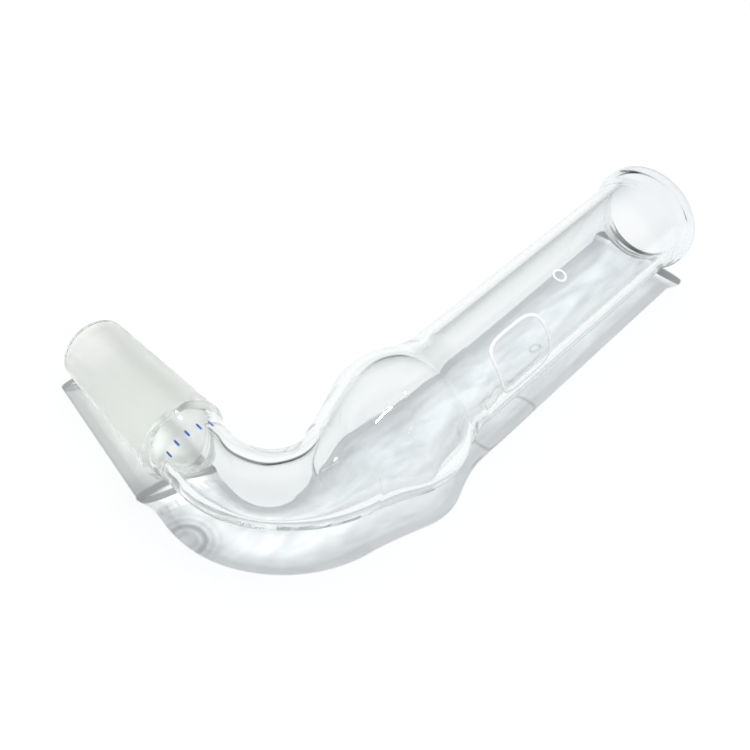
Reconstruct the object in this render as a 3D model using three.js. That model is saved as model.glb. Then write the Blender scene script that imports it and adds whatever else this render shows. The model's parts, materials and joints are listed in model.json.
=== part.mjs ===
// Bent drying tube in clear borosilicate glass: a frosted 10/19 ground cone, a narrow stem
// bent to an included angle of 75 degrees, one pear-shaped bulb, and a wide body tube with a
// flared, fire-polished mouth. The glass is one fused piece. It is built as the stretches
// that a glassblower joins and shapes, each one closed hollow shell that meets the next face
// to face. The fired-on enamel marks are thin solids of their own.
//
// Units are millimetres and degrees, +Z is up. The tube lies on a table at z = 0, touching
// it at the cone's tip, under the bulb and under the mouth. The body tube runs along +X and
// the cone points towards +Y. The origin is at the centre of the bounding box's base.
//
// A "station" is a distance along the tube's centreline from the small end of the cone.

import * as THREE from 'three';

// ---- Driving dimensions ----------------------------------------------------------------

// Ground cone, standard size 10/19: 10 mm across at the large end, 19 mm long, taper 1:10.
const CONE_LARGE_RADIUS = 5;
const CONE_LENGTH = 19;
const CONE_TAPER = 1 / 10;
const CONE_SMALL_RADIUS = CONE_LARGE_RADIUS - (CONE_LENGTH * CONE_TAPER) / 2;

// Stem and bend.
const SHOULDER_LENGTH = 2.9;
const STEM_RADIUS = 4.25;
const BEND_START = 24.2;
const BEND_RADIUS = 9.2;
const INCLUDED_ANGLE = 75;

// Bulb: a ball that swells out of the bend and closes down to the body tube.
const SWELL_START = 31.2;
const BALL_RADIUS = 8.4;
const BALL_STATION = 50.5;
const BALL_TANGENT_ANGLE = 20;

// Body tube and mouth.
const TUBE_START = 59.6;
const TUBE_RADIUS = 6.35;
const TOTAL_LENGTH = 102.5;
const FLARE_LENGTH = 3;
const LIP_LENGTH = 1;
const RIM_RADIUS = 7.1;
const LIP_ROUNDING = 0.5;

// Wall thickness at some stations, in a straight line from one to the next.
const WALLS = [
  { station: 0, thickness: 1.1 },
  { station: CONE_LENGTH, thickness: 1.35 },
  { station: CONE_LENGTH + SHOULDER_LENGTH, thickness: 1.3 },
  { station: BEND_START, thickness: 1.3 },
  { station: BALL_STATION, thickness: 1.25 },
  { station: TUBE_START, thickness: 1.2 },
  { station: TOTAL_LENGTH - FLARE_LENGTH, thickness: 1.2 },
  { station: TOTAL_LENGTH, thickness: 1 },
];

// Bending stretches the outside wall and thickens the inside one, which moves the bore out.
const BORE_SHIFT = 0.35;

// Enamel marks: thin, and just clear of the glass.
const ENAMEL_THICKNESS = 0.1;
const ENAMEL_CLEARANCE = 0.06;

const PANEL = { station: 66, angle: 28, length: 10, width: 7, line: 0.45, corner: 4 };
const PANEL_BAR = { station: 58.9, angle: 6, length: 2.6, width: 1.1 };
const END_RING = { station: 77.4, angle: 66, length: 1.9, width: 1.9, line: 0.35, corner: 2 };
const TICK = { station: 22.6, firstAngle: 33, spacing: 20, count: 5, length: 1.2, width: 0.3 };

// Facets round the tube, and the longest step between rings along it where it curves.
const SIDES = 32;
const RING_STEP = 1.3;
const OUTLINE_SEGMENTS = 48;

// ---- Materials -------------------------------------------------------------------------

const clearGlass = new THREE.MeshStandardMaterial({ color: 0xe2ecea, roughness: 0.05 });
const frostedGlass = new THREE.MeshStandardMaterial({ color: 0xc9d0c8, roughness: 0.7 });
const whiteEnamel = new THREE.MeshStandardMaterial({ color: 0xf4f5f1, roughness: 0.45 });
const blueEnamel = new THREE.MeshStandardMaterial({ color: 0x17389e, roughness: 0.4 });

// ---- Outline of the tube ---------------------------------------------------------------

const SHOULDER_END = CONE_LENGTH + SHOULDER_LENGTH;
const FLARE_START = TOTAL_LENGTH - FLARE_LENGTH;
const LIP_START = TOTAL_LENGTH - LIP_LENGTH;
const BEND_ANGLE = THREE.MathUtils.degToRad(180 - INCLUDED_ANGLE);
const BEND_END = BEND_START + BEND_RADIUS * BEND_ANGLE;
const TANGENT = THREE.MathUtils.degToRad(BALL_TANGENT_ANGLE);
const BALL_START = BALL_STATION - BALL_RADIUS * Math.sin(TANGENT);
const BALL_END = BALL_STATION + BALL_RADIUS * Math.sin(TANGENT);

// A smooth curve from (start, r0) with slope m0 to (end, r1) with slope m1.
function blend(station, start, end, r0, m0, r1, m1) {
  const length = end - start;
  const u = (station - start) / length;
  const fromStart = r0 * (2 * u ** 3 - 3 * u ** 2 + 1) + m0 * length * (u ** 3 - 2 * u ** 2 + u);
  const toEnd = r1 * (3 * u ** 2 - 2 * u ** 3) + m1 * length * (u ** 3 - u ** 2);
  return fromStart + toEnd;
}

function outerRadius(station) {
  const { smoothstep, smootherstep } = THREE.MathUtils;
  const tangentRadius = BALL_RADIUS * Math.cos(TANGENT);
  const slope = Math.tan(TANGENT);
  if (station <= CONE_LENGTH) {
    return CONE_SMALL_RADIUS + (station * CONE_TAPER) / 2;
  }
  if (station <= SWELL_START) {
    const fall = smootherstep(station, CONE_LENGTH, SHOULDER_END);
    return CONE_LARGE_RADIUS + (STEM_RADIUS - CONE_LARGE_RADIUS) * fall;
  }
  if (station <= BALL_START) {
    return blend(station, SWELL_START, BALL_START, STEM_RADIUS, 0, tangentRadius, slope);
  }
  if (station <= BALL_END) {
    return Math.sqrt(BALL_RADIUS ** 2 - (station - BALL_STATION) ** 2);
  }
  if (station <= TUBE_START) {
    return blend(station, BALL_END, TUBE_START, tangentRadius, -slope, TUBE_RADIUS, 0);
  }
  if (station <= LIP_START) {
    const flare = smoothstep(station, FLARE_START, LIP_START);
    return TUBE_RADIUS + (RIM_RADIUS - TUBE_RADIUS) * flare;
  }
  const u = (station - LIP_START) / LIP_LENGTH;
  return RIM_RADIUS - LIP_ROUNDING * (1 - Math.sqrt(1 - u ** 2));
}

function boreRadius(station) {
  const next = Math.max(1, WALLS.findIndex((wall) => wall.station >= station));
  const [a, b] = [WALLS[next - 1], WALLS[next]];
  const u = (station - a.station) / (b.station - a.station);
  return outerRadius(station) - THREE.MathUtils.lerp(a.thickness, b.thickness, u);
}

// ---- Centreline of the tube ------------------------------------------------------------

// Both legs lie in the plane z = 0. The bend's corner, where the legs' axes would meet, is
// the origin here; the body leg runs along +X and the cone leg is at the included angle.
const TANGENT_LENGTH = BEND_RADIUS * Math.tan(BEND_ANGLE / 2);
const CONE_LEG = new THREE.Vector2(Math.cos(Math.PI - BEND_ANGLE), Math.sin(Math.PI - BEND_ANGLE));
const BEND_CENTRE = new THREE.Vector2(TANGENT_LENGTH, BEND_RADIUS);

// The centreline's point and the direction towards the outside of the bend.
function centreline(station) {
  if (station <= BEND_START) {
    const along = TANGENT_LENGTH + BEND_START - station;
    const outward = new THREE.Vector2(-CONE_LEG.y, CONE_LEG.x);
    return { point: CONE_LEG.clone().multiplyScalar(along), outward };
  }
  if (station >= BEND_END) {
    const point = new THREE.Vector2(TANGENT_LENGTH + station - BEND_END, 0);
    return { point, outward: new THREE.Vector2(0, -1) };
  }
  const turn = (BEND_END - station) / BEND_RADIUS;
  const outward = new THREE.Vector2(-Math.sin(turn), -Math.cos(turn));
  return { point: BEND_CENTRE.clone().addScaledVector(outward, BEND_RADIUS), outward };
}

// A point at a distance from the centreline: angle 0 is the outside of the bend, 90 is up.
function tubePoint(station, outwardOffset, upOffset) {
  const { point, outward } = centreline(station);
  const flat = point.addScaledVector(outward, outwardOffset);
  return new THREE.Vector3(flat.x, flat.y, upOffset);
}

function boreShift(station) {
  const u = THREE.MathUtils.clamp((station - BEND_START) / (BEND_END - BEND_START), 0, 1);
  return BORE_SHIFT * Math.sin(Math.PI * u) ** 2;
}

// ---- Glass pieces ----------------------------------------------------------------------

function stations(start, end, step) {
  const count = Math.ceil((end - start) / step);
  return Array.from({ length: count + 1 }, (_, i) => start + ((end - start) * i) / count);
}

// A closed lathe of the wall's section, then bent so that its axis follows the centreline.
function glassShell(name, stops, material) {
  const outside = stops.map((s) => new THREE.Vector2(outerRadius(s), s));
  const bore = stops.map((s) => new THREE.Vector2(boreRadius(s), s)).reverse();
  const section = [...outside, ...bore, outside[0]];
  const geometry = new THREE.LatheGeometry(section, SIDES);
  const position = geometry.attributes.position;
  for (let i = 0; i < position.count; i += 1) {
    const place = i % section.length;
    const onBore = place >= outside.length && place < section.length - 1;
    const station = position.getY(i);
    const shift = onBore ? boreShift(station) : 0;
    const bent = tubePoint(station, position.getX(i) + shift, position.getZ(i));
    position.setXYZ(i, bent.x, bent.y, bent.z);
  }
  const mesh = new THREE.Mesh(geometry, material);
  mesh.name = name;
  return mesh;
}

const groundCone = glassShell('ground_cone', [0, CONE_LENGTH / 2, CONE_LENGTH], frostedGlass);
const coneShoulder = glassShell(
  'cone_shoulder',
  stations(CONE_LENGTH, SHOULDER_END, SHOULDER_LENGTH / 5),
  clearGlass,
);
const bentStem = glassShell(
  'bent_stem',
  [SHOULDER_END, ...stations(BEND_START, BEND_END, RING_STEP)],
  clearGlass,
);
const bulb = glassShell('bulb', stations(BEND_END, TUBE_START, RING_STEP), clearGlass);
const bodyTube = glassShell(
  'body_tube',
  stations(TUBE_START, FLARE_START, (FLARE_START - TUBE_START) / 3),
  clearGlass,
);
const mouthRim = glassShell(
  'mouth_rim',
  [
    ...stations(FLARE_START, LIP_START, (LIP_START - FLARE_START) / 3),
    LIP_START + LIP_LENGTH / 2,
    TOTAL_LENGTH - LIP_LENGTH / 8,
    TOTAL_LENGTH,
  ],
  clearGlass,
);

// ---- Enamel marks ----------------------------------------------------------------------

// Wraps a flat mark, drawn with x along the tube and y round it, onto the glass.
function wrapOnGlass(name, geometry, mark, material) {
  const middle = THREE.MathUtils.degToRad(mark.angle);
  const position = geometry.attributes.position;
  for (let i = 0; i < position.count; i += 1) {
    const station = mark.station + position.getX(i);
    const base = outerRadius(station) + ENAMEL_CLEARANCE;
    const angle = middle + position.getY(i) / base;
    const radius = base + position.getZ(i);
    const point = tubePoint(station, radius * Math.cos(angle), radius * Math.sin(angle));
    position.setXYZ(i, point.x, point.y, point.z);
  }
  const mesh = new THREE.Mesh(geometry, material);
  mesh.name = name;
  return mesh;
}

// A closed line round a rounded rectangle, or round a circle where corner is 2. It starts as
// a lathe ring whose radius is 1 at the line's inner edge and 2 at its outer edge.
function outlineMark(name, mark, material) {
  const [low, high] = [0, ENAMEL_THICKNESS];
  const section = [[1, low], [2, low], [2, high], [1, high], [1, low]];
  const points = section.map(([radius, height]) => new THREE.Vector2(radius, height));
  const geometry = new THREE.LatheGeometry(points, OUTLINE_SEGMENTS);
  const position = geometry.attributes.position;
  const rounded = (size, part) => size * Math.sign(part) * Math.abs(part) ** (2 / mark.corner);
  for (let i = 0; i < position.count; i += 1) {
    const ring = Math.hypot(position.getX(i), position.getZ(i));
    const inset = (2 - ring) * mark.line;
    const x = rounded(mark.length / 2 - inset, position.getX(i) / ring);
    const y = rounded(mark.width / 2 - inset, -position.getZ(i) / ring);
    position.setXYZ(i, x, y, position.getY(i));
  }
  return wrapOnGlass(name, geometry, mark, material);
}

function barMark(name, mark, material) {
  const geometry = new THREE.BoxGeometry(mark.length, mark.width, ENAMEL_THICKNESS, 1, 2, 1);
  geometry.translate(0, 0, ENAMEL_THICKNESS / 2);
  return wrapOnGlass(name, geometry, mark, material);
}

const enamelMarks = [
  outlineMark('panel_outline', PANEL, whiteEnamel),
  barMark('panel_bar', PANEL_BAR, whiteEnamel),
  outlineMark('end_ring', END_RING, whiteEnamel),
];
for (let i = 0; i < TICK.count; i += 1) {
  const tick = { ...TICK, angle: TICK.firstAngle + i * TICK.spacing };
  enamelMarks.push(barMark(`size_tick_${i + 1}`, tick, blueEnamel));
}

// ---- The whole tube, lying on the table ------------------------------------------------

// Normal of the plane that touches the undersides of the cone's tip, the bulb and the mouth.
function restingNormal() {
  const contacts = [0, BALL_STATION, LIP_START];
  const rows = contacts.map((station) => centreline(station).point);
  const radii = new THREE.Vector3(...contacts.map(outerRadius));
  const heights = new THREE.Matrix3()
    .set(rows[0].x, rows[0].y, 1, rows[1].x, rows[1].y, 1, rows[2].x, rows[2].y, 1)
    .invert();
  const plane = radii.applyMatrix3(heights);
  return new THREE.Vector3(plane.x, plane.y, Math.sqrt(1 - plane.x ** 2 - plane.y ** 2));
}

const tube = new THREE.Group();
tube.add(groundCone, coneShoulder, bentStem, bulb, bodyTube, mouthRim, ...enamelMarks);
tube.quaternion.setFromUnitVectors(restingNormal(), new THREE.Vector3(0, 0, 1));

const assembly = new THREE.Group();
assembly.add(tube);
const box = new THREE.Box3().setFromObject(assembly, true);
tube.position.set(-(box.min.x + box.max.x) / 2, -(box.min.y + box.max.y) / 2, -box.min.z);

export default assembly;
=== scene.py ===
"""Looks for the bent drying tube: clear borosilicate glass with a frosted ground cone.

The glass is one fused piece that the CAD model splits into the stretches a glassblower joins. Each
stretch gets a fine, closed shell here in place of its faceted CAD node. Where two stretches are
fused there is no surface in the real glass, so the ring that closes each shell there is invisible.

Sizes are in millimetres in the tube's own frame, as in the CAD source, and are turned into metres
when a mesh is made. A "station" is a distance along the centreline from the cone's small end. An
angle round the tube is 0 on the outside of the bend and 90 degrees on top.
"""

import json
import math

import bmesh
import bpy
import numpy as np
from mathutils import Matrix, Vector


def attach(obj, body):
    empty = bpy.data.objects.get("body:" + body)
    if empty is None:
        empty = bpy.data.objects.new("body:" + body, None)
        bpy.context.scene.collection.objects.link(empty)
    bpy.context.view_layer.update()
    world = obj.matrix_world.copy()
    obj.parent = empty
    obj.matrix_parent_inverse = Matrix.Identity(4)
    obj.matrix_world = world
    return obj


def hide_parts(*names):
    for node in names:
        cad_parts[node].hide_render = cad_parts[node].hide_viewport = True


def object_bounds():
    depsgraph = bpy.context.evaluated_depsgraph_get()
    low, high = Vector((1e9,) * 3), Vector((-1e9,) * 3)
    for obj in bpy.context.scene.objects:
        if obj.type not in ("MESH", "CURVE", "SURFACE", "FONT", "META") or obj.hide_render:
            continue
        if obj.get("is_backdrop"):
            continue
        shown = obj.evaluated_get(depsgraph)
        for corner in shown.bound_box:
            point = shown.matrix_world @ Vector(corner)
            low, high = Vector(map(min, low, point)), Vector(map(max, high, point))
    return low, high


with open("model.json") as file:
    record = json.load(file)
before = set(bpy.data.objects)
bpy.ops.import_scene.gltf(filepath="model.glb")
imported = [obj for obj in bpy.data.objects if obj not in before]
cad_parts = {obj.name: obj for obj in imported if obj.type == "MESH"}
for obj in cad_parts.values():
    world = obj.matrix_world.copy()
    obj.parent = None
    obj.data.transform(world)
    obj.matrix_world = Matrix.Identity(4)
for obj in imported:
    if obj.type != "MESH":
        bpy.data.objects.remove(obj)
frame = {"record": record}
cad_low, cad_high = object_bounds()

MM = 0.001
QUARTER = math.pi / 2

# ---- Sizes, as in the CAD model ---------------------------------------------------------

CONE_LARGE_RADIUS = 5.0
CONE_LENGTH = 19.0
CONE_TAPER = 0.1
CONE_SMALL_RADIUS = CONE_LARGE_RADIUS - CONE_LENGTH * CONE_TAPER / 2

# The stem and ball are a little under the CAD's 4.25 and 8.4, to stay inside its facets' box.
SHOULDER_LENGTH = 2.9
STEM_RADIUS = 4.24
BEND_START = 24.2
BEND_RADIUS = 9.2

SWELL_START = 31.2
BALL_RADIUS = 8.345
BALL_STATION = 50.5
BALL_TANGENT = math.radians(20)

TUBE_START = 59.6
TUBE_RADIUS = 6.35
TOTAL_LENGTH = 102.5
FLARE_LENGTH = 3.0
LIP_LENGTH = 1.0
RIM_RADIUS = 7.1
LIP_ROUNDING = 0.5

SHOULDER_END = CONE_LENGTH + SHOULDER_LENGTH
FLARE_START = TOTAL_LENGTH - FLARE_LENGTH
FLARE_MIDDLE = TOTAL_LENGTH - 2 * LIP_LENGTH
LIP_START = TOTAL_LENGTH - LIP_LENGTH

# Wall thickness at some stations, in a straight line from one to the next.
WALLS = {
    0.0: 1.1,
    CONE_LENGTH: 1.35,
    SHOULDER_END: 1.3,
    BEND_START: 1.3,
    BALL_STATION: 1.25,
    TUBE_START: 1.2,
    FLARE_START: 1.2,
    TOTAL_LENGTH: 1.0,
}
BORE_SHIFT = 0.35

# Enamel marks: station, angle in degrees, length, width, line width and corner exponent. A mark
# with no line width is solid.
WHITE_MARKS = {
    "panel_outline": (66, 28, 10, 7, 0.45, 4),
    "panel_bar": (58.9, 6, 2.6, 1.1, 0, 4),
    "end_ring": (77.4, 66, 1.9, 1.9, 0.35, 2),
}
FIRST_TICK_ANGLE = 33
TICK_SPACING = 20
TICK_COUNT = 5
BLUE_MARKS = {
    f"size_tick_{i + 1}": (22.6, FIRST_TICK_ANGLE + i * TICK_SPACING, 1.2, 0.3, 0, 4)
    for i in range(TICK_COUNT)
}

# ---- Sizes of the detail that the CAD model leaves out ----------------------------------

TIP_ROUNDING = 0.25
POLISHED_TIP = 0.8

# The grinding leaves a small step where it ends, that falls away along the shoulder.
GROUND_STEP = 0.13
GROUND_STEP_RISE = 0.2
GROUND_STEP_FALL = 0.8

# Unevenness that the flame leaves in the worked glass: its size, and a turn so that the outside
# and the bore differ. Each wave in it has radians per millimetre, a count round the tube and a
# share of the turn, and it dies away over WAVE_FADE at both ends of the worked glass.
OUTSIDE_WAVE = 0.012
OUTSIDE_TURN = 1
BORE_WAVE = 0.05
BORE_TURN = 3
WAVES = [(0.55, 2, 1), (0.31, -3, -1), (1.1, 1, 2)]
WAVE_FADE = 6

ENAMEL_GAP = 0.005
ENAMEL_THICKNESS = 0.07
ENAMEL_ROUNDNESS = 0.6

# How finely each shell and mark is divided.
SIDES = 144
CONE_STEPS = 30
POLISHED_STEPS = 3
TIP_FACE_STEPS = 2
EDGE_STEPS = 8
SHOULDER_STEPS = 16
BEND_STEPS = 72
BULB_STEPS = 80
TUBE_STEPS = 40
LIP_STEPS = 16
MARK_SIDES = 96
MARK_STEPS = 14

# A step along a run that is short enough to give its direction, and how near points are welded.
SHORT_STEP = 1e-4
WELD_DISTANCE = 1e-4

# ---- Where the tube lies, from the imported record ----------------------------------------

mounts = {mount["name"]: mount for mount in frame["record"]["mounts"]}
body_axis = Vector(mounts["mouth_face"]["axis"]).normalized()
cone_axis = Vector(mounts["cone_tip_face"]["axis"]).normalized()
plane_normal = body_axis.cross(cone_axis).normalized()
TURN = np.array((body_axis, plane_normal.cross(body_axis), plane_normal)).T
BEND_ANGLE = math.pi - body_axis.angle(cone_axis)
BEND_END = BEND_START + BEND_RADIUS * BEND_ANGLE
TANGENT_LENGTH = BEND_RADIUS * math.tan(BEND_ANGLE / 2)

# ---- Outline of the tube ----------------------------------------------------------------


def smooth_step(u):
    u = np.clip(u, 0, 1)
    return u * u * (3 - 2 * u)


def smoother_step(u):
    u = np.clip(u, 0, 1)
    return u**3 * (u * (6 * u - 15) + 10)


def blend(station, start, end, r0, m0, r1, m1):
    """A smooth curve from (start, r0) with slope m0 to (end, r1) with slope m1."""
    length = end - start
    u = (station - start) / length
    from_start = r0 * (2 * u**3 - 3 * u**2 + 1) + m0 * length * (u**3 - 2 * u**2 + u)
    to_end = r1 * (3 * u**2 - 2 * u**3) + m1 * length * (u**3 - u**2)
    return from_start + to_end


def outer_radius(station):
    slope = math.tan(BALL_TANGENT)
    tangent_radius = BALL_RADIUS * math.cos(BALL_TANGENT)
    ball_start = BALL_STATION - BALL_RADIUS * math.sin(BALL_TANGENT)
    ball_end = BALL_STATION + BALL_RADIUS * math.sin(BALL_TANGENT)
    cone = CONE_SMALL_RADIUS + station * CONE_TAPER / 2
    fall = smoother_step((station - CONE_LENGTH) / SHOULDER_LENGTH)
    step = smooth_step((station - CONE_LENGTH) / GROUND_STEP_RISE)
    step = step * (1 - smooth_step((station - CONE_LENGTH - GROUND_STEP_RISE) / GROUND_STEP_FALL))
    stem = CONE_LARGE_RADIUS + (STEM_RADIUS - CONE_LARGE_RADIUS) * fall + GROUND_STEP * step
    swell = blend(station, SWELL_START, ball_start, STEM_RADIUS, 0, tangent_radius, slope)
    ball = np.sqrt(np.maximum(BALL_RADIUS**2 - (station - BALL_STATION) ** 2, 0))
    neck = blend(station, ball_end, TUBE_START, tangent_radius, -slope, TUBE_RADIUS, 0)
    flare = smooth_step((station - FLARE_START) / (LIP_START - FLARE_START))
    tube = TUBE_RADIUS + (RIM_RADIUS - TUBE_RADIUS) * flare
    ends = [CONE_LENGTH, SWELL_START, ball_start, ball_end, TUBE_START]
    return np.select([station <= end for end in ends], [cone, stem, swell, ball, neck], tube)


def wave(station, angle, turn):
    """From -1 to 1 in the stem, bend and bulb, and 0 on the ground cone and the drawn tube."""
    from_shoulder = smooth_step((station - SHOULDER_END) / WAVE_FADE)
    to_tube = smooth_step((TUBE_START - station) / WAVE_FADE)
    waves = [np.sin(pitch * station + count * angle + share * turn) for pitch, count, share in WAVES]
    return from_shoulder * to_tube * sum(waves) / len(WAVES)


def bore_radius(station):
    return outer_radius(station) - np.interp(station, list(WALLS), list(WALLS.values()))


def bore_shift(station):
    u = np.clip((station - BEND_START) / (BEND_END - BEND_START), 0, 1)
    return BORE_SHIFT * np.sin(math.pi * u) ** 2


# ---- Centreline -------------------------------------------------------------------------


def centreline(station):
    """Points on the axis and the directions towards the outside of the bend, in its plane."""
    turn = np.clip((BEND_END - station) / BEND_RADIUS, 0, BEND_ANGLE)
    outward = np.stack([-np.sin(turn), -np.cos(turn)], -1)
    onward = np.stack([np.cos(turn), -np.sin(turn)], -1)
    before = np.minimum(station - BEND_START, 0)
    after = np.maximum(station - BEND_END, 0)
    bend_centre = np.array([TANGENT_LENGTH, BEND_RADIUS])
    return bend_centre + BEND_RADIUS * outward + (before + after)[..., None] * onward, outward


def tube_point(station, radius, angle, shift=0.0):
    point, outward = centreline(station)
    flat = point + (radius * np.cos(angle) + shift)[..., None] * outward
    return np.concatenate([flat, (radius * np.sin(angle))[..., None]], -1)


# ---- Runs: stretches of a shell's section, as functions of u from 0 to 1 ----------------


def outside_run(start, end):
    def run(u, angle):
        station = start + (end - start) * u
        radius = outer_radius(station) + OUTSIDE_WAVE * wave(station, angle, OUTSIDE_TURN)
        return tube_point(station, radius, angle)

    return run


def bore_run(start, end):
    def run(u, angle):
        station = start + (end - start) * u
        radius = bore_radius(station) + BORE_WAVE * wave(station, angle, BORE_TURN)
        return tube_point(station, radius, angle, bore_shift(station))

    return run


def face_run(station, start_radius, end_radius):
    """A flat ring square to the axis."""

    def run(u, angle):
        radius = start_radius + (end_radius - start_radius) * u
        return tube_point(np.full_like(u, station), radius, angle)

    return run


def edge_run(station, radius, length, width, start_turn, end_turn):
    """A round edge. Turn 0 faces away from the axis, and a quarter turn faces up the stations."""

    def run(u, angle):
        turn = start_turn + (end_turn - start_turn) * u
        return tube_point(station + length * np.sin(turn), radius + width * np.cos(turn), angle)

    return run


# ---- Meshes -----------------------------------------------------------------------------


def ring_quads(first, steps, ring_count, sides):
    """Corners (ring, side) of the quads between steps + 1 rings, and their vertex numbers."""
    ring, side = np.meshgrid(np.arange(steps), np.arange(sides), indexing="ij")
    beside = (side + 1) % sides
    quad = [(ring, side), (ring + 1, side), (ring + 1, beside), (ring, beside)]
    ids = [(first + r) % ring_count * sides + s for r, s in quad]
    return quad, np.stack(ids, -1).reshape(-1, 4)


def add_object(name, mesh):
    piece = bpy.data.objects.new(name, mesh)
    bpy.context.scene.collection.objects.link(piece)
    return piece


def make_shell(name, runs, materials):
    """A closed shell from the runs of its section, each with its steps and material."""
    turns = np.linspace(0, 2 * math.pi, SIDES, endpoint=False)
    ring_count = sum(steps for _, steps, _ in runs)
    points, corners, normals, slots = [], [], [], []
    first = 0
    for run, steps, material in runs:
        u, angle = np.meshgrid(np.linspace(0, 1, steps + 1), turns, indexing="ij")
        along = run(u + SHORT_STEP, angle) - run(u - SHORT_STEP, angle)
        around = run(u, angle + SHORT_STEP) - run(u, angle - SHORT_STEP)
        normal = np.cross(along, around)
        normal /= np.linalg.norm(normal, axis=-1, keepdims=True)
        quad, ids = ring_quads(first, steps, ring_count, SIDES)
        points.append(run(u, angle)[:-1].reshape(-1, 3))
        corners.append(ids)
        normals.append(np.stack([normal[r, s] for r, s in quad], -2).reshape(-1, 3))
        slots += [materials.index(material)] * len(ids)
        first += steps
    mesh = bpy.data.meshes.new(name)
    mesh.from_pydata(np.concatenate(points) @ TURN.T * MM, [], np.concatenate(corners).tolist())
    for material in materials:
        mesh.materials.append(material)
    mesh.polygons.foreach_set("material_index", slots)
    mesh.normals_split_custom_set((np.concatenate(normals) @ TURN.T).tolist())
    return add_object(name, mesh)


def superellipse(turn, exponent):
    """A point on an outline that reaches 1 each way, with squarer corners for a high exponent."""
    cosine, sine = np.cos(turn), np.sin(turn)
    reach = (np.abs(cosine) ** exponent + np.abs(sine) ** exponent) ** (-1 / exponent)
    return reach * cosine, reach * sine


def make_mark(name, mark, material):
    """A low enamel mark that follows the glass: a line round its outline, or solid."""
    station, angle, length, width, line, exponent = mark
    if line:
        section = np.linspace(0, 2 * math.pi, MARK_STEPS, endpoint=False)
        inset = line * (1 - np.cos(section)) / 2
        half_length, half_width = length / 2 - inset, width / 2 - inset
    else:
        section = np.linspace(-QUARTER, QUARTER, MARK_STEPS)
        scale = 1 - np.abs(np.sin(section))
        half_length, half_width = length / 2 * scale, width / 2 * scale
    height = ENAMEL_GAP + ENAMEL_THICKNESS * np.maximum(np.sin(section), 0) ** ENAMEL_ROUNDNESS
    turns = np.linspace(0, 2 * math.pi, MARK_SIDES, endpoint=False)
    ahead, aside = superellipse(turns, exponent)
    along = station + half_length[:, None] * ahead
    around = math.radians(angle) + half_width[:, None] * aside / outer_radius(np.array(station))
    points = tube_point(along, outer_radius(along) + height[:, None], around)
    quads = ring_quads(0, MARK_STEPS if line else MARK_STEPS - 1, MARK_STEPS, MARK_SIDES)[1]
    mesh = bpy.data.meshes.new(name)
    mesh.from_pydata(points.reshape(-1, 3) @ TURN.T * MM, [], quads.tolist())
    mesh.materials.append(material)
    shape = bmesh.new()
    shape.from_mesh(mesh)
    bmesh.ops.remove_doubles(shape, verts=shape.verts, dist=WELD_DISTANCE * MM)
    bmesh.ops.recalc_face_normals(shape, faces=shape.faces)
    for face in shape.faces:
        face.smooth = True
    shape.to_mesh(mesh)
    shape.free()
    return add_object(name, mesh)


# ---- Materials --------------------------------------------------------------------------

# Colours and levels that change are lists of stops, each a position from 0 to 1 and a colour.


def grey(level):
    return level, level, level


GLASS_IOR = 1.473
GLASS_TINT = [(0.3, (0.964, 0.973, 0.973)), (0.7, (0.982, 0.988, 0.988))]

# The tint by the slant that the glass is seen at, for the longer way through the wall.
WALL_DEPTHS = [(0.35, grey(1)), (0.65, (0.92, 0.943, 0.935)), (1, (0.7, 0.76, 0.74))]
EDGE_DEPTHS = [(0.3, grey(1)), (0.65, (0.86, 0.885, 0.875)), (1, (0.4, 0.46, 0.44))]

# Painted shade: the glass is a little darker near the mouth, over this distance behind the lip.
MOUTH_REACH = 9
MOUTH_PAINTED_SHADE = [(0, (0.915, 0.931, 0.946)), (0.75, (0.927, 0.941, 0.954)), (1, grey(1))]

# Features per metre along each axis, of streaks drawn along the body tube and of the swirls that
# dim and brighten the light on its way through.
DRAWN_SCALE = (25, 420, 420)
SWIRL_SCALE = (110, 300, 300)
STREAK_LEVELS = [(0.32, grey(0.9)), (0.68, grey(1.075))]

# How much light goes straight through one surface, by its slant to the light. The bore's levels
# are over 1, because the glass gathers light into the middle of its shadow.
OUTSIDE_PASSES = [(0, (0.68, 0.698, 0.705)), (0.75, (0.675, 0.693, 0.7)), (1, (0.57, 0.59, 0.6))]
BEND_PASSES = [
    (0, (0.7, 0.718, 0.725)),
    (0.06, (0.69, 0.708, 0.715)),
    (0.14, (0.655, 0.673, 0.68)),
    (0.7, (0.64, 0.658, 0.665)),
    (1, (0.56, 0.58, 0.59)),
]
BORE_PASSES = [(0, grey(1.53)), (0.1, grey(1.43)), (0.25, grey(1.29)), (0.5, grey(1.17)), (1, grey(1.05))]
DARK_PASSES = [(0, grey(0.18)), (1, grey(0.12))]
TIP_PASSES = [(0, grey(0.42)), (1, grey(0.3))]
BRIGHT_PASSES = [(0, grey(0.9)), (1, grey(0.8))]

# The lamp, and the rings that the start of the bend gathers its light into, out to FOCUS_REACH.
LAMP_DIRECTION = Vector((0.025, -0.035, 1)).normalized()
LAMP_DISTANCE = 0.8
FOCUS_CENTRE = Vector((-37.5, -3.7, 0)) * MM
FOCUS_REACH = 4 * MM
FOCUS_RINGS = [
    (0, grey(1)),
    (0.14, grey(0.98)),
    (0.26, grey(0.8)),
    (0.36, grey(1)),
    (0.47, grey(0.62)),
    (0.52, grey(0.62)),
    (0.6, grey(1)),
    (0.7, grey(0.85)),
    (0.8, grey(1.01)),
    (0.9, grey(0.93)),
    (1, grey(1)),
]

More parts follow.
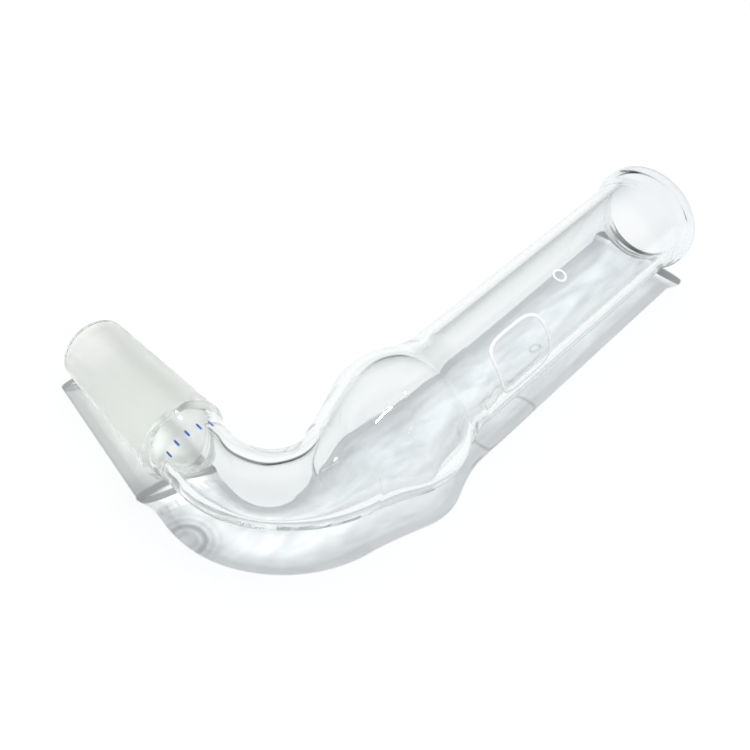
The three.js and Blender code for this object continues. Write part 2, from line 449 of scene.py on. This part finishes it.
# The frosted surface has a fine grain and a soft cloud, and lets less light through near its large
# end, from FROST_FADE_START on.
GRAIN_SCALE = (5000, 5000, 5000)
CLOUD_SCALE = (250, 250, 250)
FROST_TINT = [(0.3, (0.92, 0.935, 0.893)), (0.7, (0.985, 0.99, 0.958))]
FROST_ROUGHNESS = [(0.3, grey(0.5)), (0.7, grey(0.68))]
FROST_TRANSMISSION = 0.85
FROST_PASSES = [(0, (0.71, 0.725, 0.715)), (0.6, (0.66, 0.675, 0.665)), (1, grey(0.45))]
FROST_LEVELS = [(0.35, grey(0.97)), (0.65, grey(1.03))]
FROST_FADE_START = 12
FROST_FADE = [(0, grey(1)), (0.5, grey(0.97)), (1, grey(0.7))]

# The enamel is speckled and satin.
SPECKLE_SCALE = (2500, 2500, 2500)
ENAMEL_ROUGHNESS = [(0.3, grey(0.3)), (0.7, grey(0.5))]
ENAMEL_PASSES = [(0, grey(0.8)), (1, grey(0.7))]
ENAMEL_LEVELS = [(0.3, grey(0.9)), (0.7, grey(1.1))]
WHITE_COLOURS = [(0.3, (0.84, 0.86, 0.85)), (0.7, (0.96, 0.965, 0.95))]
BLUE_COLOURS = [(0.3, (0.03, 0.12, 0.5)), (0.7, (0.06, 0.2, 0.7))]


def new_material(name):
    material = bpy.data.materials.new(name)
    material.use_nodes = True
    return material, material.node_tree, material.node_tree.nodes["Principled BSDF"]


def add_ramp(tree, factor, stops):
    """The colour for a factor between stops."""
    ramp = tree.nodes.new("ShaderNodeValToRGB")
    elements = ramp.color_ramp.elements
    for _ in stops[2:]:
        elements.new(1)
    for element, (position, colour) in zip(elements, stops):
        element.position = position
        element.color = (*colour, 1)
    tree.links.new(factor, ramp.inputs["Fac"])
    return ramp.outputs["Color"]


def add_noise(tree, scale, detail=2, swirl=0):
    """Noise over the object, with its features per metre along each axis as its scale."""
    coordinates = tree.nodes.new("ShaderNodeTexCoord")
    mapping = tree.nodes.new("ShaderNodeMapping")
    mapping.inputs["Scale"].default_value = scale
    noise = tree.nodes.new("ShaderNodeTexNoise")
    noise.inputs["Scale"].default_value = 1
    noise.inputs["Detail"].default_value = detail
    noise.inputs["Distortion"].default_value = swirl
    tree.links.new(coordinates.outputs["Object"], mapping.inputs["Vector"])
    tree.links.new(mapping.outputs["Vector"], noise.inputs["Vector"])
    return noise.outputs["Fac"]


def add_vector_math(tree, operation, vector, other=None):
    """The outputs of one step of vector arithmetic, with a constant as its other vector."""
    node = tree.nodes.new("ShaderNodeVectorMath")
    node.operation = operation
    tree.links.new(vector, node.inputs[0])
    if other is not None:
        node.inputs[1].default_value = other
    return node.outputs


def multiply(tree, first, second):
    product = tree.nodes.new("ShaderNodeVectorMath")
    product.operation = "MULTIPLY"
    tree.links.new(first, product.inputs[0])
    tree.links.new(second, product.inputs[1])
    return product.outputs["Vector"]


def add_bump(tree, shader, height, strength, distance):
    """Small bumps as high as the distance, in millimetres."""
    bump = tree.nodes.new("ShaderNodeBump")
    bump.inputs["Strength"].default_value = strength
    bump.inputs["Distance"].default_value = distance * MM
    tree.links.new(height, bump.inputs["Height"])
    tree.links.new(bump.outputs["Normal"], shader.inputs["Normal"])


def add_rings(tree, centre, reach, stops):
    """Rings round the light that goes to a point of the floor, out to a distance in metres."""
    coordinates = tree.nodes.new("ShaderNodeTexCoord")
    to_lamp = (LAMP_DIRECTION * LAMP_DISTANCE - centre).normalized()
    offset = add_vector_math(tree, "SUBTRACT", coordinates.outputs["Object"], centre)
    across = add_vector_math(tree, "CROSS_PRODUCT", offset["Vector"], to_lamp / reach)
    distance = add_vector_math(tree, "LENGTH", across["Vector"])
    return add_ramp(tree, distance["Value"], stops)


def add_span(tree, value, start, end, stops):
    """The colour from one value to another."""
    span = tree.nodes.new("ShaderNodeMapRange")
    span.inputs["From Min"].default_value = start
    span.inputs["From Max"].default_value = end
    tree.links.new(value, span.inputs["Value"])
    return add_ramp(tree, span.outputs["Result"], stops)


def add_fade(tree, mount, start, end, stops):
    """The colour from one distance behind the face at an end of the tube to another."""
    coordinates = tree.nodes.new("ShaderNodeTexCoord")
    inward = -Vector(mounts[mount]["axis"])
    behind = add_vector_math(tree, "DOT_PRODUCT", coordinates.outputs["Object"], inward)
    face = Vector(mounts[mount]["pos_m"]).dot(inward)
    return add_span(tree, behind["Value"], face + start * MM, face + end * MM, stops)


def add_slant(tree, stops):
    """The colour from seeing the surface square on, 0, to seeing it edge on, 1."""
    slant = tree.nodes.new("ShaderNodeLayerWeight")
    slant.inputs["Blend"].default_value = 0.5
    return add_ramp(tree, slant.outputs["Facing"], stops)


def let_light_through(tree, shader, passes, streaks):
    """Lamp light, and light off the floor, goes straight through, less of it at a slant."""
    path = tree.nodes.new("ShaderNodeLightPath")
    straight = tree.nodes.new("ShaderNodeMath")
    straight.operation = "MAXIMUM"
    tree.links.new(path.outputs["Is Shadow Ray"], straight.inputs[0])
    tree.links.new(path.outputs["Is Diffuse Ray"], straight.inputs[1])
    passed = add_slant(tree, passes)
    clear = tree.nodes.new("ShaderNodeBsdfTransparent")
    tree.links.new(multiply(tree, passed, streaks), clear.inputs["Color"])
    mix = tree.nodes.new("ShaderNodeMixShader")
    tree.links.new(straight.outputs[0], mix.inputs["Fac"])
    tree.links.new(shader.outputs[0], mix.inputs[1])
    tree.links.new(clear.outputs[0], mix.inputs[2])
    tree.links.new(mix.outputs[0], tree.nodes["Material Output"].inputs["Surface"])


def clear_glass(name, passes, depths, rings=False):
    """Borosilicate glass with drawn streaks. With rings, it gathers the lamp's light into them."""
    material, tree, shader = new_material(name)
    drawn = add_noise(tree, DRAWN_SCALE)
    tint = add_ramp(tree, drawn, GLASS_TINT)
    # Painted shade that darkens the glass near the mouth.
    mouth = add_fade(tree, "mouth_face", 0, MOUTH_REACH, MOUTH_PAINTED_SHADE)
    depth = multiply(tree, add_slant(tree, depths), mouth)
    tree.links.new(multiply(tree, tint, depth), shader.inputs["Base Color"])
    shader.inputs["Roughness"].default_value = 0
    shader.inputs["IOR"].default_value = GLASS_IOR
    shader.inputs["Transmission Weight"].default_value = 1
    add_bump(tree, shader, drawn, 0.3, 0.02)
    swirls = add_noise(tree, SWIRL_SCALE, detail=3, swirl=1.5)
    streaks = add_ramp(tree, swirls, STREAK_LEVELS)
    if rings:
        focus = add_rings(tree, FOCUS_CENTRE, FOCUS_REACH, FOCUS_RINGS)
        streaks = multiply(tree, streaks, focus)
    let_light_through(tree, shader, passes, streaks)
    return material


def frosted_glass():
    """The ground surface of the cone."""
    material, tree, shader = new_material("frosted_glass")
    grain = add_noise(tree, GRAIN_SCALE, detail=4)
    cloud = add_noise(tree, CLOUD_SCALE)
    tree.links.new(add_ramp(tree, cloud, FROST_TINT), shader.inputs["Base Color"])
    tree.links.new(add_ramp(tree, grain, FROST_ROUGHNESS), shader.inputs["Roughness"])
    shader.inputs["IOR"].default_value = GLASS_IOR
    shader.inputs["Transmission Weight"].default_value = FROST_TRANSMISSION
    add_bump(tree, shader, grain, 0.4, 0.01)
    streaks = add_ramp(tree, cloud, FROST_LEVELS)
    fade = add_fade(tree, "cone_tip_face", FROST_FADE_START, CONE_LENGTH, FROST_FADE)
    let_light_through(tree, shader, FROST_PASSES, multiply(tree, streaks, fade))
    return material


def fused_seam():
    """Where two stretches are fused there is no surface to see."""
    material, _, shader = new_material("fused_seam")
    shader.inputs["Alpha"].default_value = 0
    return material


def enamel(name, colours):
    """Fired-on enamel, thin enough for some light to go through."""
    material, tree, shader = new_material(name)
    speckle = add_noise(tree, SPECKLE_SCALE, detail=4)
    tree.links.new(add_ramp(tree, speckle, colours), shader.inputs["Base Color"])
    tree.links.new(add_ramp(tree, speckle, ENAMEL_ROUGHNESS), shader.inputs["Roughness"])
    add_bump(tree, shader, speckle, 0.3, 0.01)
    let_light_through(tree, shader, ENAMEL_PASSES, add_ramp(tree, speckle, ENAMEL_LEVELS))
    return material


glass = clear_glass("clear_glass", OUTSIDE_PASSES, WALL_DEPTHS)
bend_glass = clear_glass("bend_glass", BEND_PASSES, WALL_DEPTHS, rings=True)
bore_glass = clear_glass("bore_glass", BORE_PASSES, WALL_DEPTHS)
dark_edge = clear_glass("edge_glass", DARK_PASSES, EDGE_DEPTHS)
tip_edge = clear_glass("tip_glass", TIP_PASSES, EDGE_DEPTHS)
bright_edge = clear_glass("shoulder_glass", BRIGHT_PASSES, WALL_DEPTHS)
frosted = frosted_glass()
seam = fused_seam()
white = enamel("white_enamel", WHITE_COLOURS)
blue = enamel("blue_enamel", BLUE_COLOURS)

# ---- The glass --------------------------------------------------------------------------


def outer(station):
    return float(outer_radius(np.array(station)))


def bore(station):
    return float(bore_radius(np.array(station)))


def stretch(name, start, end, steps, outside):
    """The shell of a stretch that is fused to its neighbours at both ends."""
    runs = [
        (outside_run(start, end), steps, outside),
        (face_run(end, outer(end), bore(end)), 1, seam),
        (bore_run(end, start), steps, bore_glass),
        (face_run(start, bore(start), outer(start)), 1, seam),
    ]
    return make_shell(name, runs, [outside, bore_glass, seam])


def shoulder_shell():
    """The collar that rounds down from the ground cone to the stem."""
    start, middle, end = CONE_LENGTH, CONE_LENGTH + SHOULDER_LENGTH / 3, SHOULDER_END
    runs = [
        (outside_run(start, middle), SHOULDER_STEPS, dark_edge),
        (outside_run(middle, end), SHOULDER_STEPS, bright_edge),
        (face_run(end, outer(end), bore(end)), 1, seam),
        (bore_run(end, start), 2 * SHOULDER_STEPS, bore_glass),
        (face_run(start, bore(start), outer(start)), 1, seam),
    ]
    return make_shell("cone_shoulder_glass", runs, [dark_edge, bright_edge, bore_glass, seam])


def cone_shell():
    """The ground cone, with a rounded tip whose outside is fire-polished."""
    lean = math.atan(CONE_TAPER / 2)
    rounding = TIP_ROUNDING
    start = rounding * (1 - math.sin(lean))
    outside_edge = outer(start) - rounding * math.cos(lean)
    bore_edge = bore(rounding) + rounding
    tip_outside = edge_run(rounding, outside_edge, rounding, rounding, -QUARTER, -lean)
    tip_inside = edge_run(rounding, bore_edge, rounding, rounding, -2 * QUARTER, -QUARTER)
    runs = [
        (tip_outside, EDGE_STEPS, tip_edge),
        (outside_run(start, POLISHED_TIP), POLISHED_STEPS, tip_edge),
        (outside_run(POLISHED_TIP, CONE_LENGTH), CONE_STEPS, frosted),
        (face_run(CONE_LENGTH, outer(CONE_LENGTH), bore(CONE_LENGTH)), 1, seam),
        (bore_run(CONE_LENGTH, rounding), CONE_STEPS, bore_glass),
        (tip_inside, EDGE_STEPS, tip_edge),
        (face_run(0, bore_edge, outside_edge), TIP_FACE_STEPS, tip_edge),
    ]
    return make_shell("ground_cone_glass", runs, [frosted, tip_edge, bore_glass, seam])


def mouth_shell():
    """The flared mouth, with a lip made of two quarters of an ellipse."""
    middle = RIM_RADIUS - LIP_ROUNDING
    inside_width = middle - bore(LIP_START)
    lip_outside = edge_run(LIP_START, middle, LIP_LENGTH, LIP_ROUNDING, 0, QUARTER)
    lip_inside = edge_run(LIP_START, middle, LIP_LENGTH, inside_width, QUARTER, 2 * QUARTER)
    runs = [
        (outside_run(FLARE_START, FLARE_MIDDLE), LIP_STEPS, glass),
        (outside_run(FLARE_MIDDLE, LIP_START), LIP_STEPS, bright_edge),
        (lip_outside, LIP_STEPS, dark_edge),
        (lip_inside, LIP_STEPS, dark_edge),
        (bore_run(LIP_START, FLARE_START), LIP_STEPS, bore_glass),
        (face_run(FLARE_START, bore(FLARE_START), outer(FLARE_START)), 1, seam),
    ]
    return make_shell("mouth_rim_glass", runs, [glass, bright_edge, dark_edge, bore_glass, seam])


pieces = {
    "ground_cone": cone_shell(),
    "cone_shoulder": shoulder_shell(),
    "bent_stem": stretch("bent_stem_glass", SHOULDER_END, BEND_END, BEND_STEPS, bend_glass),
    "bulb": stretch("bulb_glass", BEND_END, TUBE_START, BULB_STEPS, glass),
    "body_tube": stretch("body_tube_glass", TUBE_START, FLARE_START, TUBE_STEPS, glass),
    "mouth_rim": mouth_shell(),
}
slots = {node: "clear_glass" for node in pieces}
slots["ground_cone"] = "frosted_glass"

# The tube is made round its own frame, and then laid on the table in the middle of the CAD box.
corners = np.concatenate([[v.co for v in piece.data.vertices] for piece in pieces.values()])
low, high = Vector(corners.min(0)), Vector(corners.max(0))
place = (cad_low + cad_high - low - high) / 2
place.z = cad_low.z - low.z

for marks, slot, material in [(WHITE_MARKS, "white_enamel", white), (BLUE_MARKS, "blue_enamel", blue)]:
    for node, mark in marks.items():
        pieces[node] = make_mark(f"{node}_enamel", mark, material)
        slots[node] = slot

for node, piece in pieces.items():
    piece.data.transform(Matrix.Translation(place))
    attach(piece, "root")
    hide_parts(node)

# ---- Floor and light --------------------------------------------------------------------

FLOOR_HALF = 3

# Painted light and shade on the floor: its colour is palest round the tube and darker farther out, by
# distance in metres.
PAINTED_FLOOR_SHADE_LEVELS = [(0, 0.9), (0.05, 0.9), (0.09, 0.91), (0.14, 0.8), (0.3, 0.7), (0.8, 0.65)]

LAMP_SIZE = 0.022
LAMP_POWER = 4.7

# The room is lightest a little above the horizon and darker below it and overhead. Its gradient
# leans to one side and starts at ROOM_START, and one dark card stands in it.
ROOM_GRADIENT = (-0.45, -0.1, 1)
ROOM_START = -0.5
ROOM_LEVELS = [(0, 0.22), (0.3, 0.3), (0.45, 0.56), (0.6, 0.64), (0.75, 0.58), (1, 0.24)]
ROOM_TINT = (0.96, 0.985, 1)
CARD_DIRECTION = Vector((0.6, 0.77, 0.25)).normalized()
CARD_LEVELS = [(0.982, grey(1)), (0.992, grey(0.05))]


def add_floor():
    mesh = bpy.data.meshes.new("floor")
    square = [(-1, -1), (1, -1), (1, 1), (-1, 1)]
    mesh.from_pydata([(FLOOR_HALF * x, FLOOR_HALF * y, 0) for x, y in square], [], [(0, 1, 2, 3)])
    material, tree, shader = new_material("floor")
    coordinates = tree.nodes.new("ShaderNodeTexCoord")
    distance = add_vector_math(tree, "LENGTH", coordinates.outputs["Object"])
    # Painted light and shade: the floor's colour is graded by its distance from the tube.
    painted_floor_shade = add_ramp(tree, distance["Value"], [(at, grey(level)) for at, level in PAINTED_FLOOR_SHADE_LEVELS])
    tree.links.new(painted_floor_shade, shader.inputs["Base Color"])
    shader.inputs["Roughness"].default_value = 1
    shader.inputs["Specular IOR Level"].default_value = 0
    mesh.materials.append(material)
    return add_object("floor", mesh)


def add_lamp():
    lamp = bpy.data.lights.new("key", "AREA")
    lamp.shape = "DISK"
    lamp.size = LAMP_SIZE
    lamp.energy = LAMP_POWER
    key = add_object("key", lamp)
    key.location = LAMP_DIRECTION * LAMP_DISTANCE
    key.rotation_mode = "QUATERNION"
    key.rotation_quaternion = key.location.to_track_quat("Z", "Y")


def add_room():
    world = bpy.data.worlds.new("studio")
    world.use_nodes = True
    tree = world.node_tree
    direction = tree.nodes.new("ShaderNodeTexCoord").outputs["Generated"]
    gradient = add_vector_math(tree, "DOT_PRODUCT", direction, ROOM_GRADIENT)
    levels = [(at, [level * part for part in ROOM_TINT]) for at, level in ROOM_LEVELS]
    room = add_span(tree, gradient["Value"], ROOM_START, 1, levels)
    towards_card = add_vector_math(tree, "DOT_PRODUCT", direction, CARD_DIRECTION)
    card = add_ramp(tree, towards_card["Value"], CARD_LEVELS)
    tree.links.new(multiply(tree, room, card), tree.nodes["Background"].inputs["Color"])
    return world


add_floor()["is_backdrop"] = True
add_lamp()
bpy.context.scene.world = add_room()

# ---- Camera -----------------------------------------------------------------------------

CAMERA_TARGET = Vector((-9.6858, -6.4883, 7.0)) * MM
CAMERA_DISTANCE = 192.02 * MM
CAMERA_ELEVATION = math.radians(45.2992)
CAMERA_AZIMUTH = math.radians(-56.8668)
CAMERA_ROLL = math.radians(7.932)
CAMERA_LENS = 81.22
CAMERA_NEAR = 10 * MM

# Light crosses many surfaces of clear glass and seams.
BOUNCES = 100
SEAM_BOUNCES = 200

camera = add_object("camera", bpy.data.cameras.new("camera"))
camera.data.lens = CAMERA_LENS
camera.data.clip_start = CAMERA_NEAR
level = Vector((math.cos(CAMERA_AZIMUTH), math.sin(CAMERA_AZIMUTH), 0))
back = Vector((math.sin(CAMERA_AZIMUTH), -math.cos(CAMERA_AZIMUTH), math.tan(CAMERA_ELEVATION)))
back.normalize()
above = back.cross(level)
right = level * math.cos(CAMERA_ROLL) + above * math.sin(CAMERA_ROLL)
up = above * math.cos(CAMERA_ROLL) - level * math.sin(CAMERA_ROLL)
camera.location = CAMERA_TARGET + back * CAMERA_DISTANCE
camera.rotation_mode = "QUATERNION"
camera.rotation_quaternion = Matrix((right, up, back)).transposed().to_quaternion()

scene = bpy.context.scene
scene.camera = camera
scene.view_settings.view_transform = "Standard"
scene.cycles.max_bounces = BOUNCES
scene.cycles.transmission_bounces = BOUNCES
scene.cycles.glossy_bounces = BOUNCES
scene.cycles.transparent_max_bounces = SEAM_BOUNCES

low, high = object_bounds()
